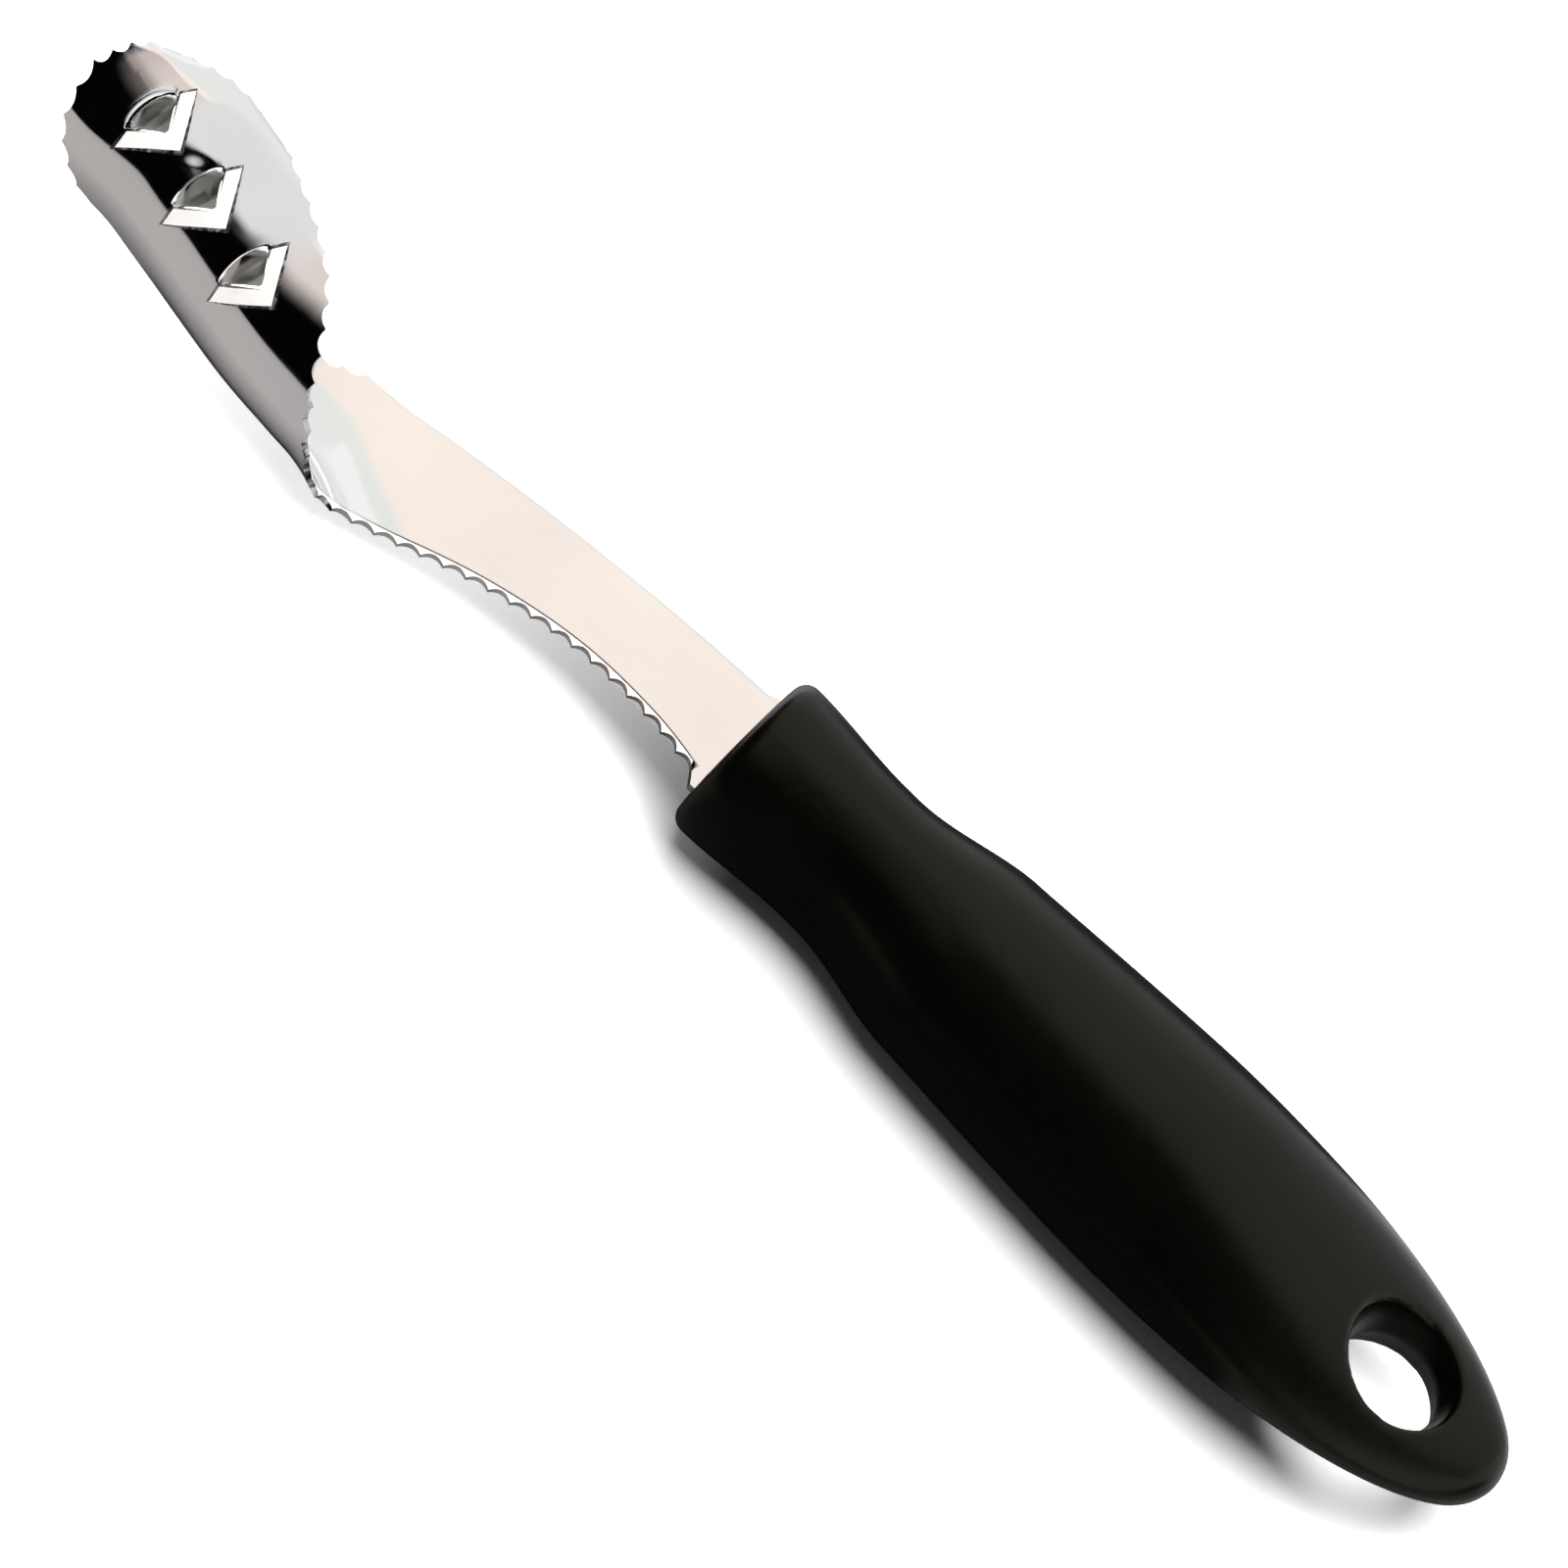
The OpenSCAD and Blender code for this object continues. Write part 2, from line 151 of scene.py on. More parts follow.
def fresh(add, name, **sizes):
    """Adds one primitive with nothing else selected."""
    bpy.ops.object.select_all(action="DESELECT")
    add(**sizes)
    obj = bpy.context.object
    obj.name = obj.data.name = name
    return obj


def edit(obj, kind="VERT"):
    """Opens edit mode with nothing selected."""
    alone(obj)
    bpy.ops.object.mode_set(mode="EDIT")
    bpy.ops.mesh.select_mode(type=kind)
    bpy.ops.mesh.select_all(action="DESELECT")


def pick(obj, vertices=(), edges=()):
    """Selects vertices or edges by number, from edit mode and back into it."""
    bpy.ops.object.mode_set(mode="OBJECT")
    for i in vertices:
        obj.data.vertices[i].select = True
    for i in edges:
        obj.data.edges[i].select = True
    bpy.ops.object.mode_set(mode="EDIT")


def done():
    bpy.ops.object.mode_set(mode="OBJECT")


def coords(mesh):
    out = np.empty(len(mesh.vertices) * 3)
    mesh.vertices.foreach_get("co", out)
    return out.reshape(-1, 3)


def set_coords(mesh, points):
    mesh.vertices.foreach_set("co", np.ascontiguousarray(points, dtype=float).ravel())
    mesh.update()


def cut(obj, cutter):
    """Takes the cutter out of a piece and removes the cutter."""
    alone(obj)
    taken = obj.modifiers.new("cut", "BOOLEAN")
    taken.object = cutter
    taken.operation = "DIFFERENCE"
    taken.solver = "EXACT"
    bpy.ops.object.modifier_apply(modifier=taken.name)
    bpy.data.objects.remove(cutter)


# Blade

def sheet_z(q):
    """Height of the sheet's middle along the shank and the leaf."""
    shank = np.where(q < 0, 0, -(SHANK_SLOPE * q + SHANK_BEND * q * q))
    leaf = GOUGE_RISE * (q - KINK_Q) - GOUGE_DROP
    return smooth_max(shank, leaf, KINK_SOFT)


def curl_s(q):
    """Where across the blank the roll begins."""
    heel = HEEL_CURL - HEEL_CURL_SLOPE * (q - KINK_Q + HEEL_CURL_AT)
    leaf = LEAF_CURL - LEAF_CURL_SLOPE * (q - KINK_Q)
    return smooth_max(heel, leaf, CURL_SOFT)


def roll_soft(q):
    """Length over which the roll comes on: long at the heel, short along the leaf."""
    heel = ROLL_HEEL * (1 - ease((q - KINK_Q - ROLL_HEEL_AT) / ROLL_HEEL_RUN))
    return ROLL_LEAF + heel + ROLL_SHANK * (1 - ease((q - ROLL_SHANK_AT) / ROLL_SHANK_RUN))


GAUSS_AT, GAUSS_W = np.polynomial.legendre.leggauss(24)


def rolled(q, s):
    """Middle of the sheet at a place of the flat blank, rolled."""
    soft = roll_soft(q)
    start = curl_s(q) - soft / 2
    run = np.maximum(s - start, 0)
    t = run[..., None] * (GAUSS_AT + 1) / 2
    soft = soft[..., None]
    turn = np.where(t < soft, t * t / (2 * MID_R * soft), (t - soft / 2) / MID_R)
    part = run[..., None] / 2 * GAUSS_W
    y = -(np.minimum(s, start) + (np.cos(turn) * part).sum(axis=-1))
    return np.stack([X_FRONT - q, y, sheet_z(q) + (np.sin(turn) * part).sum(axis=-1)], axis=-1)


def facing(surface, q, s, step=0.02):
    """Unit direction out of the gouge's outside for a surface given as a function of q and s."""
    along_s = surface(q, s + step) - surface(q, s - step)
    along_q = surface(q + step, s) - surface(q - step, s)
    n = np.cross(along_s, along_q)
    return n / np.linalg.norm(n, axis=-1, keepdims=True)


def tooth_ab(q, s, k):
    """A place of the blank in the lines of tooth k, whose two arms are scaled to one length."""
    b = s - TOOTH_S - TOOTH_CLIMB * k
    across = np.where(b > 0, b * TOOTH_SPAN / ARM_UP, b * TOOTH_SPAN / ARM_LOW)
    return q - (TOOTH_Q + k * TOOTH_PITCH) + TOOTH_SHEAR * b, across


def tooth_qs(a, across, k):
    """The place of the blank at a point of tooth k."""
    b = across * (ARM_UP if across > 0 else ARM_LOW) / TOOTH_SPAN
    return np.array([TOOTH_Q + k * TOOTH_PITCH + a - TOOTH_SHEAR * b, TOOTH_S + TOOTH_CLIMB * k + b])


ARM = np.array([TOOTH_LEN, TOOTH_SPAN]) / math.hypot(TOOTH_LEN, TOOTH_SPAN)
TOOTH_W = TOOTH_WALL + TOOTH_BAND


def arm_point(along, inward):
    """A point of the upper arm, along its outer line from the tooth's point and inwards from that line."""
    return np.array([along * ARM[0] + inward * ARM[1], along * ARM[1] - inward * ARM[0]])


ARM_LEN = math.hypot(TOOTH_LEN, TOOTH_SPAN)
END_OUT = arm_point(ARM_LEN, 0)
END_IN = arm_point(ARM_LEN - ARM_CUT, TOOTH_W)
WINDOW_POINT = np.array([TOOTH_W / ARM[1], 0])
TOP_POINT = np.array([TOOTH_WALL / ARM[1], 0])
TOP_END_OUT = arm_point(ARM_LEN - TOOTH_END - TOP_CUT, TOOTH_WALL)
TOP_END_IN = arm_point(ARM_LEN - ARM_CUT - TOOTH_END, TOOTH_W)
TONGUE_B = (TONGUE_A * ARM[1] - TOOTH_W - SLIT) / ARM[0]
slope_a = np.linspace(0, 12, 1200)


def pressed_in(slopes):
    """Depth of a pressing that is given by its slopes, from its far end back."""
    slopes = sorted(slopes)
    at = np.interp(slope_a, [a for a, _ in slopes], [v for _, v in slopes])
    return np.cumsum(at[::-1])[::-1] * (slope_a[1] - slope_a[0])


tongue_drops = [pressed_in(lip + TONGUE_FLOOR) for lip in TONGUE_LIPS]
spoon_drop = pressed_in(SPOON_SLOPE)


def tongues(q, s):
    """Depth of the tongues behind the teeth, with the lead into one of them."""
    total = np.zeros_like(q)
    for k in range(3):
        a, b = tooth_ab(q, s, k)
        sides = np.clip(1 - (b / END_IN[1]) ** 2, 0, 1)
        bowed = a + LIP_BOW * (b / LIP_BOW_AT) ** 2
        drop = np.interp(bowed, slope_a, tongue_drops[k]) * sides ** TONGUE_FADE
        if k == LEAD_TOOTH:
            into = -LEAD_DIR[0] * (a - LEAD_AT[0]) - LEAD_DIR[1] * (b - LEAD_AT[1])
            beside = LEAD_DIR[1] * (a - LEAD_AT[0]) - LEAD_DIR[0] * (b - LEAD_AT[1])
            drop += LEAD_D * np.exp(-(np.minimum(into, 0) / LEAD_W) ** 2 - (beside / LEAD_LEN) ** 2) * sides
        behind = a * ARM[1] - np.abs(b) * ARM[0] > TOOTH_W + TONGUE_CLEAR
        total += np.where(behind, drop, 0)
    return total


def waves(q, s):
    """How far pressing has moved the sheet: a low swell round the teeth, the tongues, and the rolled tip."""
    moved = -tongues(q, s)
    for k in range(3):
        a, b = tooth_ab(q, s, k)
        moved += SWELL_H * np.exp(-((a - SWELL_AT) / SWELL_LEN) ** 2 - (b / SWELL_HW) ** 2)
    rim = np.interp(s, [s_at for s_at, _ in SPOON_RIM], [q_at for _, q_at in SPOON_RIM])
    spoon = np.interp(rim - q, slope_a, spoon_drop) * ease((s - SPOON_FROM) / SPOON_FROM_RUN)
    moved -= spoon * (1 - ease((s - SPOON_TO) / SPOON_TO_RUN))
    opened = TIP_OPEN * ease((TIP_OPEN_S - s) / TIP_OPEN_S_RUN)
    return moved + opened * ease((q - TIP_OPEN_Q) / TIP_OPEN_Q_RUN)


def through(points, fine=24):
    """Smooth curve through a list of points."""
    p = np.array(points, dtype=float)
    out = []
    n = len(p) - 1
    for i in range(n * fine + 1):
        k = min(i // fine, n - 1)
        t = i / fine - k
        a, b, c, d = p[max(k - 1, 0)], p[k], p[k + 1], p[min(k + 2, n)]
        out.append(0.5 * (2 * b + (c - a) * t + (2 * a - 5 * b + 4 * c - d) * t * t
                          + (3 * b - a - 3 * c + d) * t ** 3))
    return np.array(out)


def even(points, n):
    """The same line in n equal steps."""
    run = np.concatenate([[0], np.cumsum(np.linalg.norm(np.diff(points, axis=0), axis=1))])
    at = np.linspace(0, run[-1], n + 1)
    return np.stack([np.interp(at, run, points[:, 0]), np.interp(at, run, points[:, 1])], axis=1)


def spaced(points, step):
    """The same broken line with no stretch longer than step, its corners kept."""
    out = [np.array(points[0], dtype=float)]
    for p, q in zip(points[:-1], points[1:]):
        p, q = np.array(p, dtype=float), np.array(q, dtype=float)
        n = max(1, math.ceil(np.linalg.norm(q - p) / step))
        out += [p + (q - p) * i / n for i in range(1, n + 1)]
    return np.array(out)


def scalloped(line, sign):
    """Bites evenly spaced scallops into a line."""
    along = np.gradient(line, axis=0)
    along /= np.linalg.norm(along, axis=1, keepdims=True)
    f = (np.arange(len(line)) % PER_SCALLOP) / PER_SCALLOP
    bite = SCALLOP_D * 4 * f * (1 - f)
    return line + sign * bite[:, None] * np.stack([along[:, 1], -along[:, 0]], axis=1)


def long_line():
    """The long edge before it is scalloped."""
    points = [[ROOT_Q, EDGE_ROOT], [8.6, (EDGE_ROOT + EDGE_WAIST) / 2 - 0.4], [19, EDGE_WAIST],
              [30, EDGE_WAIST + 1.2], [KINK_Q - 16, 8.1], [KINK_Q - 9.2, 10.6], [KINK_Q - 5.6, 14.4],
              [KINK_Q - 1.5, TIP_S - 2.3], [KINK_Q + 3, 26.5], [KINK_Q + 8.2, CROWN_S - 5.9],
              [KINK_Q + 16.5, CROWN_S - 2.2], [REACH - 17, CROWN_S], [REACH - 8.9, CROWN_S - 3.3],
              [REACH - 2.7, TIP_S + 7.2], [REACH, TIP_S]]
    return even(through(points), SCALLOPS_LONG * PER_SCALLOP)


def short_line():
    """The short edge before it is scalloped."""
    points = [[KINK_Q, -SPINE_HW], [KINK_Q + 4.1, -5.6], [KINK_Q + 10, -2.6], [KINK_Q + 18, 1.6],
              [REACH - 15, 5.5], [REACH - 9.1, 8.9], [REACH - 5.1, 12.8], [REACH - 1.8, TIP_S - 5.5],
              [REACH, TIP_S]]
    return even(through(points), SCALLOPS_SHORT * PER_SCALLOP)


def blank_outline():
    """Closed outline of the flat blank: tang, long edge, short edge, spine."""
    long_edge = scalloped(long_line(), 1)
    short_edge = scalloped(short_line(), -1)
    tang = [[-TANG_LEN, TANG_HW - TANG_CHAMFER], [TANG_CHAMFER - TANG_LEN, TANG_HW], [-NECK_AT, TANG_HW],
            [-HEEL_LEN, HEEL_HW], [HEEL_OUT, HEEL_HW]]
    upper = spaced(tang + [list(long_edge[0])], 1.2)
    lower = spaced([[q, -s] for q, s in tang] + [[ROOT_Q, -SPINE_HW], [KINK_Q, -SPINE_HW]], 1.0)
    return np.concatenate([upper, long_edge[1:], short_edge[::-1][1:], lower[::-1][1:]])


def bevel_lines():
    """The two creases along the bevelled edge of the shank, and the one along its spine."""
    line = long_line()
    along = np.gradient(line, axis=0)
    along /= np.linalg.norm(along, axis=1, keepdims=True)
    inwards = np.stack([along[:, 1], -along[:, 0]], axis=1)
    run = (line[:, 0] > BEVEL_FROM) & (line[:, 0] < KINK_Q + 1)
    edge = [(line + inwards * d)[run][::2] for d in (BEVEL_W, BEVEL_W + CREASE_W)]
    return edge + [spaced([[SPINE_FROM, SPINE_W - SPINE_HW], [KINK_Q - 2, SPINE_W - SPINE_HW]], 0.8)]


def bevel_drop(q, s):
    """How far the shank's upper face is taken down along its edges."""
    line = long_line()
    line = line[line[:, 0] < KINK_Q + 6]
    gap = np.concatenate([np.linalg.norm(part[:, None, :] - line[None, :, :], axis=2).min(axis=1)
                          for part in np.array_split(np.stack([q, s], axis=1), max(1, len(q) // 2000))])
    crease = CREASE_D * np.clip((BEVEL_W + CREASE_W - gap) / CREASE_W, 0, 1)
    slope = crease + BEVEL_SLOPE * np.maximum(BEVEL_W - gap, 0)
    comes_in = ease((q - BEVEL_IN) / BEVEL_IN_RUN)
    fade = comes_in * (1 - ease((q - KINK_Q + BEVEL_OUT) / BEVEL_OUT_RUN))
    spine = SPINE_SLOPE * np.maximum(SPINE_W - SPINE_HW - s, 0) * comes_in
    return slope * fade + spine * (1 - ease((q - KINK_Q + SPINE_OUT) / SPINE_OUT_RUN))


def strand(points, vertices, edges, closed):
    """Adds a closed loop or an open line to the lists of vertices and edges."""
    first, count = len(vertices), len(points)
    vertices += [tuple(p) for p in points]
    edges += [(first + i, first + (i + 1) % count) for i in range(count if closed else count - 1)]


def inside(points, loop):
    """Which points lie within a closed loop."""
    x, y = points[:, 0], points[:, 1]
    hit = np.zeros(len(points), dtype=bool)
    for (x0, y0), (x1, y1) in zip(loop, np.roll(loop, -1, axis=0)):
        if y0 == y1:
            continue
        crosses = (y0 > y) != (y1 > y)
        hit ^= crosses & (x < (x1 - x0) * (y - y0) / (y1 - y0) + x0)
    return hit


def both_arms(a_b):
    """A line of the upper arm and its mirror on the lower arm."""
    line = [np.array(p, dtype=float) for p in a_b]
    return line, [np.array([p[0], -p[1]]) for p in line]


def window_loop(k, step=LINE_STEP):
    """Outline of the opening of tooth k: a small window, and a slit along each arm."""
    up, low = both_arms([WINDOW_POINT, TOP_END_IN, END_IN, (TONGUE_A, TONGUE_B)])
    front = spaced([(TONGUE_A, TONGUE_B), (TONGUE_A, -TONGUE_B)], step)[1:-1]
    loop = np.concatenate([spaced(up, step), front, spaced(low[::-1], step)[:-1]])
    return np.array([tooth_qs(a, b, k) for a, b in loop])


def tooth_lines(k, step=LINE_STEP):
    """The foot and the crest of the band of tooth k and the lip of its tongue, as lines of the blank."""
    out = []
    for lip_a, _ in (TONGUE_LIPS[k][0], TONGUE_LIPS[k][-1]):
        across = np.linspace(-LIP_HALF, LIP_HALF, LIP_POINTS)
        out.append(np.array([tooth_qs(lip_a - LIP_BOW * (b / LIP_BOW_AT) ** 2, b, k) for b in across]))
    for arm in both_arms([TOP_POINT * 0, END_OUT, END_IN]) + both_arms([TOP_POINT, TOP_END_OUT, TOP_END_IN]):
        out.append(np.array([tooth_qs(a, b, k) for a, b in spaced(arm, step)]))
    return out


def on_band(q, s):
    """Which places of the blank lie on a tooth's flat top and on its foot, and how high the top stands."""
    top = np.zeros(len(q), dtype=bool)
    foot = np.zeros(len(q), dtype=bool)
    height = np.zeros(len(q))
    end_dir = (END_IN - END_OUT) / np.linalg.norm(END_IN - END_OUT)
    top_dir = (TOP_END_IN - TOP_END_OUT) / np.linalg.norm(TOP_END_IN - TOP_END_OUT)
    for k in range(3):
        a, b = tooth_ab(q, s, k)
        up = np.abs(b)
        inward = a * ARM[1] - up * ARM[0]
        past_top = (a - TOP_END_OUT[0]) * -top_dir[1] + (up - TOP_END_OUT[1]) * top_dir[0]
        past_end = (a - END_OUT[0]) * -end_dir[1] + (up - END_OUT[1]) * end_dir[0]
        across = (inward > TOOTH_WALL - TOUCH) & (inward < TOOTH_W + TOUCH)
        hit = across & (past_top < TOUCH)
        top |= hit
        foot |= (inward > -TOUCH) & (inward < TOOTH_W + TOUCH) & (past_end < TOUCH)
        height = np.where(hit, TOOTH_H[0] + (TOOTH_H[1] - TOOTH_H[0]) * (up / TOOTH_SPAN) ** 2, height)
    return top, foot, height


def blank_points(outline, holes, lines):
    """Even points over the blank, close together among the teeth, clear of every line."""
    out = []
    for step, zone in ((FINE_STEP, True), (COARSE_STEP, False)):
        rows = np.arange(-SPINE_HW, CROWN_S, step * ROW_SHARE)
        cols = np.arange(-TANG_LEN, REACH, step)
        grid = np.array([(q + step / 2 * (i % 2), s) for i, s in enumerate(rows) for q in cols])
        near = ((grid[:, 0] > TOOTH_Q - FINE_BEFORE) & (grid[:, 0] < TOOTH_Q + 2 * TOOTH_PITCH + FINE_PAST)
                & (np.abs(grid[:, 1] - TOOTH_S) < FINE_HALF))
        out.append((grid[near == zone], step))
    kept = []
    fixed = np.concatenate([outline] + holes + lines)
    for grid, step in out:
        grid = grid[inside(grid, outline)]
        for hole in holes:
            grid = grid[~inside(grid, hole)]
        for part in np.array_split(grid, max(1, len(grid) // 500)):
            gap = np.linalg.norm(part[:, None, :] - fixed[None, :, :], axis=2).min(axis=1)
            kept.append(part[gap > 0.5 * step])
    return np.concatenate(kept)


POLISHED_OUT, POLISHED_IN, GROUND_TOP, GROUND_WALL, CUT_EDGE, EDGE_BEVEL = range(6)


def blank_faces():
    """Places and triangles of the flat blank, without its windows and locking holes."""
    outline = blank_outline()
    holes = [window_loop(k) for k in range(3)]
    turn = np.linspace(0, 2 * math.pi, 33)[:-1]
    for k in range(2):
        at = np.array([-(LOCK_AT + k * LOCK_PITCH), 0])
        holes.append(at + LOCK_R * np.stack([np.cos(turn), np.sin(turn)], axis=1))
    lines = [line for k in range(3) for line in tooth_lines(k)] + bevel_lines()
    vertices, edges = [], []
    for loop in [outline] + holes:
        strand(loop, vertices, edges, True)
    for line in lines:
        strand(line, vertices, edges, False)
    vertices += [tuple(p) for p in blank_points(outline, holes, lines)]
    flat, _, faces, *_ = delaunay_2d_cdt([Vector(v) for v in vertices], edges, [], 1, 1e-5)
    place = np.array([(v.x, v.y) for v in flat])
    faces = np.array([f for f in faces if len(f) == 3])
    middle = place[faces].mean(axis=1)
    keep = np.ones(len(faces), dtype=bool)
    for hole in holes:
        keep &= ~inside(middle, hole)
    faces = faces[keep]
    p, q, r = (place[faces[:, i]] for i in range(3))
    turned = (q[:, 0] - p[:, 0]) * (r[:, 1] - p[:, 1]) - (q[:, 1] - p[:, 1]) * (r[:, 0] - p[:, 0])
    faces[turned < 0] = faces[turned < 0][:, ::-1]
    return place, faces


def flat_blade():
    """The blank as a flat solid with its scallops, windows and raised bands, its cut edges rounded."""
    place, faces = blank_faces()
    top, _, height = on_band(place[:, 0], place[:, 1])
    count = len(place)
    outer = np.column_stack([place, np.full(count, SHEET_T / 2) + height])
    taken = bevel_drop(place[:, 0], place[:, 1])
    inner = np.column_stack([place, np.full(count, -SHEET_T / 2) + BAND_INSIDE * height + taken])
    middle = place[faces].mean(axis=1)
    _, within, _ = on_band(middle[:, 0], middle[:, 1])
    kind = np.where(top[faces].all(axis=1) & within, GROUND_TOP, np.where(within, GROUND_WALL, POLISHED_OUT))
    half_edges = {(f[i], f[(i + 1) % 3]): True for f in faces for i in range(3)}
    rim = [(a, b) for a, b in half_edges if (b, a) not in half_edges]
    solid = [tuple(f) for f in faces] + [tuple(f[::-1] + count) for f in faces]
    solid += [(b, a, a + count, b + count) for a, b in rim]
    under = np.where(taken[faces].min(axis=1) > BEVEL_SEEN, EDGE_BEVEL, POLISHED_IN)
    kinds = list(kind) + list(under) + [CUT_EDGE] * len(rim)
    mesh = bpy.data.meshes.new("blade_piece")
    mesh.from_pydata(np.concatenate([outer, inner]).tolist(), [], [[int(i) for i in f] for f in solid])
    blade = bpy.data.objects.new("blade_piece", mesh)
    bpy.context.collection.objects.link(blade)
    for _ in range(6):
        mesh.materials.append(None)
    mesh.polygons.foreach_set("material_index", np.array(kinds, dtype=np.int32))
    used = {(min(a, b) + d, max(a, b) + d) for a, b in rim for d in (0, count)}
    mesh.update()
    corner = [e.index for e in mesh.edges if tuple(sorted(e.vertices)) in used]
    edit(blade, "EDGE")
    pick(blade, edges=corner)
    bpy.ops.mesh.bevel(offset=EDGE_ROUND, segments=2, profile=0.5, affect="EDGES", clamp_overlap=True,
                       material=CUT_EDGE)
    bpy.ops.mesh.select_all(action="SELECT")
    bpy.ops.mesh.dissolve_degenerate(threshold=1e-5)
    done()
    return blade


def rolled_blade():
    """Rolls the flat solid into the shank and the gouge."""
    blade = flat_blade()
    mesh = blade.data
    q, s, w = coords(mesh).T
    q = q - TIP_BACK * ease((q - TIP_BACK_Q) / TIP_BACK_RUN)
    # How far each place is drawn in; the steel is rougher there, and darker as painted shade.
    drawn = mesh.attributes.new("drawn", "FLOAT", "POINT")
    drawn.data.foreach_set("value", ease((tongues(q, s) - DRAWN_FROM) / DRAWN_RUN).astype(np.float32))
    set_coords(mesh, (rolled(q, s) + (w + waves(q, s))[:, None] * facing(rolled, q, s)) * MM)
    edit(blade)
    bpy.ops.mesh.select_all(action="SELECT")
    bpy.ops.mesh.flip_normals()
    done()
    alone(blade)
    bpy.ops.object.shade_smooth_by_angle(angle=math.radians(20))

    def pressed(a, b):
        return rolled(a, b) + waves(a, b)[..., None] * facing(rolled, a, b)

    out = facing(pressed, q, s)
    vertex = np.empty(len(mesh.loops), dtype=np.int32)
    mesh.loops.foreach_get("vertex_index", vertex)
    of_face = np.repeat([p.material_index for p in mesh.polygons], [p.loop_total for p in mesh.polygons])
    side = np.select([of_face == POLISHED_OUT, of_face == POLISHED_IN], [1.0, -1.0], 0.0)
    near_band = (w[vertex] > SHEET_T / 2 + 0.01) | ((w[vertex] > -SHEET_T / 2 + 0.01) & (side < 0))
    side[near_band] = 0
    mesh.normals_split_custom_set((out[vertex] * side[:, None]).tolist())
    return blade


# Handle

def half_width(u):
    """Half the handle's width at a length from the collar's front."""
    to_waist = ease((u - COLLAR_ROUND) / (WAIST_AT - 2 * COLLAR_ROUND))
    to_shoulder = ease((u - WAIST_AT) / SHOULDER_RUN)
    start = WAIST_AT + SHOULDER_RUN
    to_belly = np.sin(np.pi / 2 * np.clip((u - start) / (HANDLE_LEN - NOSE_LEN - start), 0, 1))
    wide = (COLLAR_HW + (WAIST_HW - COLLAR_HW) * to_waist + (SHOULDER_HW - WAIST_HW) * to_shoulder
            + (BELLY_HW - SHOULDER_HW) * to_belly)
    t = np.maximum(u - (HANDLE_LEN - NOSE_LEN), 0) / NOSE_LEN
    return wide * np.sqrt(np.maximum(1 - t * t, 0))


def half_height(u):
    """Half the handle's height at a length from the collar's front."""
    to_waist = ease((u - COLLAR_ROUND) / (WAIST_AT - 2 * COLLAR_ROUND))
    to_shoulder = ease((u - WAIST_AT) / SHOULDER_RUN)
    front = COLLAR_HT + (WAIST_HT - COLLAR_HT) * to_waist + (BELLY_HT - WAIST_HT) * to_shoulder
    thin = front + (TAIL_HT - front) * ease((u - THIN_FROM) / (HANDLE_LEN - THIN_FROM))
    end = np.maximum(u - HANDLE_LEN + TAIL_HT, 0) / TAIL_HT
    return thin * np.sqrt(np.maximum(1 - end * end, 0))


def rounding(u):
    """How far the collar's rounded front rim draws in."""
    return COLLAR_ROUND - np.sqrt(COLLAR_ROUND ** 2 - np.maximum(COLLAR_ROUND - u, 0) ** 2)


